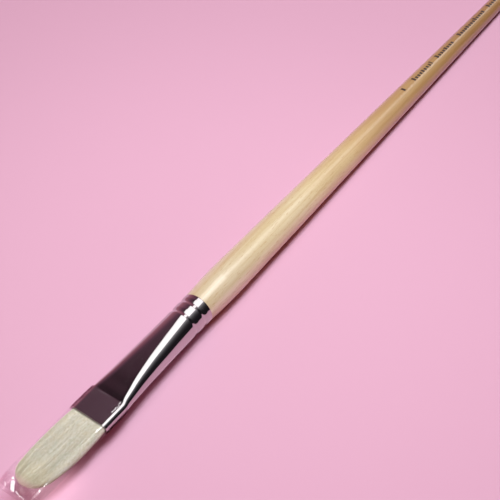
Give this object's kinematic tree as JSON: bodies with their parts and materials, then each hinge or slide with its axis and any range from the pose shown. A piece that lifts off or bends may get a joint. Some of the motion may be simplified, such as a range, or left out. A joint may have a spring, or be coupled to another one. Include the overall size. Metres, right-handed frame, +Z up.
{
  "type": "artist's paint brush",
  "caption": "Long-handled filbert brush: rounded hair tuft set in a pressed metal ferrule on a tapered wooden handle, with a clear tube that slips over the tuft.",
  "frame": {"origin": "bottom centre of the part's bounding box, on the surface that the brush lies on", "axes": "+X along the length, from the handle's end towards the hair's tip; +Y across the flat of the hair; +Z up, through the thickness. The brush lies on the handle's belly and the handle's end, so its own axis rises 0.885 degrees towards +X"},
  "size_m": [0.3084, 0.0132, 0.0111],
  "materials": {
    "lacquered_wood": "pale hardwood under a clear gloss lacquer",
    "nickel_plate": "bright nickel plate on thin pressed tube",
    "bristle": "bleached hog hair, fine and slightly glossy",
    "thread": "waxed thread",
    "resin": "cured amber resin",
    "cement": "dry wood cement",
    "clear_film": "thin clear plastic, glossy"
  },
  "bodies": {
    "brush": {"handle": "lacquered_wood", "ferrule": "nickel_plate", "handle_cement": "cement", "setting_resin": "resin", "root_binding": "thread", "bristles_upper": "bristle", "bristles_lower": "bristle"},
    "sleeve": {"protective_sleeve": "clear_film"}
  },
  "joints": [
    {"name": "sleeve_slide", "type": "slide", "parent": "brush", "child": "sleeve", "axis": [0.9999, 0, 0.0155], "range_m": [0, 0.045]}
  ]
}
